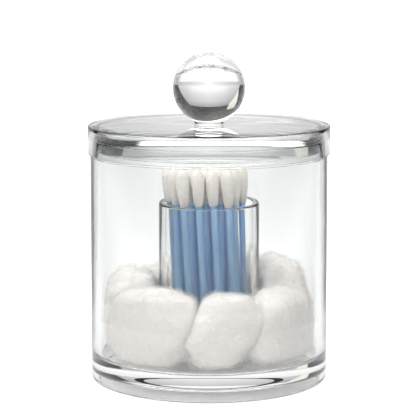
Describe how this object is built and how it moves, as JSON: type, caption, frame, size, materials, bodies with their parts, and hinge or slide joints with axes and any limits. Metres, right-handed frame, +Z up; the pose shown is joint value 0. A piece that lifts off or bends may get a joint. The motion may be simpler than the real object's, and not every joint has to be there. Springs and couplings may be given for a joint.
{
  "type": "cotton swab holder",
  "caption": "Clear round jar with a lift-off ball-knob lid and an inner cup that stands blue-stick cotton swabs on end, with cotton balls packed in the ring around it.",
  "frame": {"origin": "centre of the jar's flat underside, on the surface that it stands on", "axes": "+Z up along the jar's axis through the knob, -Y towards the side that the picture shows"},
  "size_m": [0.095, 0.095, 0.1289],
  "materials": {
    "clear_acrylic": "polished",
    "blue_stick_plastic": "satin",
    "cotton": "matte"
  },
  "bodies": {
    "jar": {"jar_body": "clear_acrylic", "swab_cup": "clear_acrylic", "cotton_ball_1": "cotton", "cotton_ball_2": "cotton", "cotton_ball_3": "cotton", "cotton_ball_4": "cotton", "cotton_ball_5": "cotton", "cotton_ball_6": "cotton", "cotton_ball_7": "cotton", "swab_01_stick": "blue_stick_plastic", "swab_02_stick": "blue_stick_plastic", "swab_03_stick": "blue_stick_plastic", "swab_04_stick": "blue_stick_plastic", "swab_05_stick": "blue_stick_plastic", "swab_06_stick": "blue_stick_plastic", "swab_07_stick": "blue_stick_plastic", "swab_08_stick": "blue_stick_plastic", "swab_09_stick": "blue_stick_plastic", "swab_10_stick": "blue_stick_plastic", "swab_11_stick": "blue_stick_plastic", "swab_12_stick": "blue_stick_plastic", "swab_13_stick": "blue_stick_plastic", "swab_14_stick": "blue_stick_plastic", "swab_15_stick": "blue_stick_plastic", "swab_16_stick": "blue_stick_plastic", "swab_17_stick": "blue_stick_plastic", "swab_18_stick": "blue_stick_plastic", "swab_19_stick": "blue_stick_plastic", "swab_20_stick": "blue_stick_plastic", "swab_21_stick": "blue_stick_plastic", "swab_22_stick": "blue_stick_plastic", "swab_23_stick": "blue_stick_plastic", "swab_24_stick": "blue_stick_plastic", "swab_01_buds": "cotton", "swab_02_buds": "cotton", "swab_03_buds": "cotton", "swab_04_buds": "cotton", "swab_05_buds": "cotton", "swab_06_buds": "cotton", "swab_07_buds": "cotton", "swab_08_buds": "cotton", "swab_09_buds": "cotton", "swab_10_buds": "cotton", "swab_11_buds": "cotton", "swab_12_buds": "cotton", "swab_13_buds": "cotton", "swab_14_buds": "cotton", "swab_15_buds": "cotton", "swab_16_buds": "cotton", "swab_17_buds": "cotton", "swab_18_buds": "cotton", "swab_19_buds": "cotton", "swab_20_buds": "cotton", "swab_21_buds": "cotton", "swab_22_buds": "cotton", "swab_23_buds": "cotton", "swab_24_buds": "cotton"},
    "lid": {"lid": "clear_acrylic", "lid_knob": "clear_acrylic"}
  },
  "joints": [
    {"name": "lid_lift", "type": "slide", "parent": "jar", "child": "lid", "axis": [0, 0, 1], "range_m": [0, 0.06]}
  ]
}
